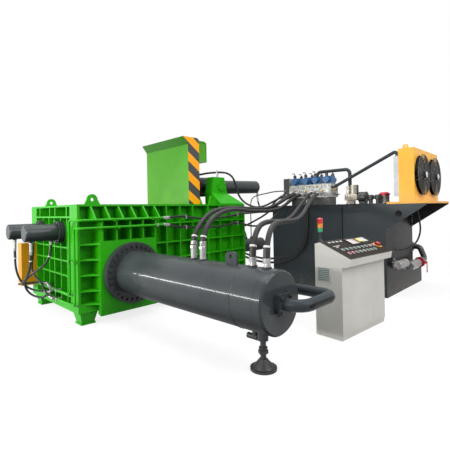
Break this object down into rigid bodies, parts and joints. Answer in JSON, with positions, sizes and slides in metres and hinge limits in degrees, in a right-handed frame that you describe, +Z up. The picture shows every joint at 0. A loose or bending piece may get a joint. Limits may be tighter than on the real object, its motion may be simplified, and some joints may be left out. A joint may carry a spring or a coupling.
{
  "type": "recycling baler",
  "caption": "Scrap metal baler: ribbed press box with hinged lid, sliding gate, main, side and lid hydraulic cylinders, oil tank with cooler, and a sloping control desk",
  "frame": {"origin": "middle of the front left leg's pad, on the ground", "axes": "+X along the press box's long wall towards the oil tank, +Y from the main cylinder's side to the bale's way out, +Z up"},
  "size_m": [6.858, 5.375, 3.03],
  "materials": {
    "green_paint": "satin",
    "lid_paint": "satin",
    "yellow_paint": "satin",
    "cylinder_paint": "semi gloss",
    "tank_paint": "semi gloss",
    "chromed_rod": "polished",
    "dark_steel": "satin",
    "bright_steel": "brushed",
    "bare_aluminium": "satin",
    "hose_rubber": "satin",
    "desk_steel": "brushed",
    "panel_plastic": "matt",
    "button_plastic": "gloss",
    "red_plastic": "gloss",
    "black_plastic": "matt",
    "coil_plastic": "matt"
  },
  "bodies": {
    "machine": {"base_frame": "green_paint", "left_wall": "green_paint", "front_wall": "green_paint", "rear_wall": "green_paint", "right_end": "green_paint", "press_head": "green_paint", "exit_frame": "green_paint", "bridge_beam": "green_paint", "trunnion_brackets": "green_paint", "trunnion_caps": "green_paint", "hinge_shaft": "bright_steel", "gate_cylinder": "cylinder_paint", "lock_cylinders": "cylinder_paint", "main_cylinder": "cylinder_paint", "flange_bolts": "dark_steel", "side_cylinder": "cylinder_paint", "oil_tank": "tank_paint", "shelf_brackets": "tank_paint", "cooler_shelf": "yellow_paint", "cooler_housing": "yellow_paint", "cooler_core": "bare_aluminium", "fan_guards": "dark_steel", "valve_manifold": "bright_steel", "solenoid_valves": "coil_plastic", "tank_top_fittings": "bright_steel", "pump_set": "tank_paint", "console_cabinet": "desk_steel", "control_panel": "panel_plastic", "push_buttons": "button_plastic", "tower_light": "red_plastic", "steel_pipes": "tank_paint", "oil_pipes": "green_paint", "hose_fittings": "bright_steel", "rod_hose_a": "hose_rubber", "rod_hose_b": "hose_rubber", "piston_hose_a": "hose_rubber", "piston_hose_b": "hose_rubber", "lid_head_hose": "hose_rubber", "lid_end_hose": "hose_rubber", "wall_hose_upper": "hose_rubber", "wall_hose_lower": "hose_rubber", "side_hose": "hose_rubber", "lock_hose_front": "hose_rubber", "lock_hose_rear": "hose_rubber"},
    "lid": {"lid": "lid_paint"},
    "lid_cylinder": {"lid_cylinder": "cylinder_paint"},
    "lid_rod": {"lid_rod": "chromed_rod"},
    "main_ram": {"main_ram": "dark_steel", "main_rod": "chromed_rod"},
    "side_ram": {"side_ram": "dark_steel", "side_rod": "chromed_rod"},
    "gate": {"gate": "yellow_paint", "gate_rod": "chromed_rod"},
    "lock_pin_front": {"lock_pin_front": "bright_steel"},
    "lock_pin_rear": {"lock_pin_rear": "bright_steel"},
    "fan_left": {"fan_left": "black_plastic"},
    "fan_right": {"fan_right": "black_plastic"},
    "suction_handle": {"suction_handle": "red_plastic"},
    "emergency_button": {"emergency_button": "red_plastic"},
    "jack_foot": {"jack_foot": "dark_steel"}
  },
  "joints": [
    {"name": "lid_hinge", "type": "hinge", "parent": "machine", "child": "lid", "pos_m": [2.437, 0.835, 1.5], "axis": [0, -1, 0], "range_deg": [0, 90]},
    {"name": "lid_cylinder_tilt", "type": "hinge", "parent": "machine", "child": "lid_cylinder", "pos_m": [2.987, 0.835, 2.125], "axis": [0, -1, 0], "range_deg": [0, 20.61]},
    {"name": "lid_rod_slide", "type": "slide", "parent": "lid_cylinder", "child": "lid_rod", "axis": [-0.9993, 0, -0.0366], "range_m": [0, 0.848]},
    {"name": "main_ram_slide", "type": "slide", "parent": "machine", "child": "main_ram", "axis": [0, 1, 0], "range_m": [0, 1.455]},
    {"name": "side_ram_slide", "type": "slide", "parent": "machine", "child": "side_ram", "axis": [-1, 0, 0], "range_m": [0, 1.5]},
    {"name": "gate_slide", "type": "slide", "parent": "machine", "child": "gate", "axis": [-1, 0, 0], "range_m": [0, 0.8]},
    {"name": "lock_pin_front_slide", "type": "slide", "parent": "machine", "child": "lock_pin_front", "axis": [1, 0, 0], "range_m": [0, 0.2]},
    {"name": "lock_pin_rear_slide", "type": "slide", "parent": "machine", "child": "lock_pin_rear", "axis": [1, 0, 0], "range_m": [0, 0.2]},
    {"name": "fan_left_spin", "type": "hinge", "parent": "machine", "child": "fan_left", "pos_m": [4.531, -3.175, 2.15], "axis": [0, 1, 0], "continuous": true},
    {"name": "fan_right_spin", "type": "hinge", "parent": "machine", "child": "fan_right", "pos_m": [5.271, -3.175, 2.15], "axis": [0, 1, 0], "continuous": true},
    {"name": "suction_handle_turn", "type": "hinge", "parent": "machine", "child": "suction_handle", "pos_m": [5.537, -3.01, 0.49], "axis": [0, -1, 0], "range_deg": [0, 90]},
    {"name": "emergency_stop_press", "type": "slide", "parent": "machine", "child": "emergency_button", "axis": [0.0305, 0.3959, -0.9178], "range_m": [0, 0.006], "stiffness_N_per_m": 800, "springref_m": -0.006},
    {"name": "jack_screw", "type": "slide", "parent": "machine", "child": "jack_foot", "axis": [0, 0, 1], "range_m": [0, 0.06]}
  ],
  "couplings": [
    {"joint": "lid_cylinder_tilt", "follows": "lid_hinge", "ratio": 0.2289},
    {"joint": "lid_rod_slide", "follows": "lid_hinge", "m_per_rad": 0.5392}
  ]
}
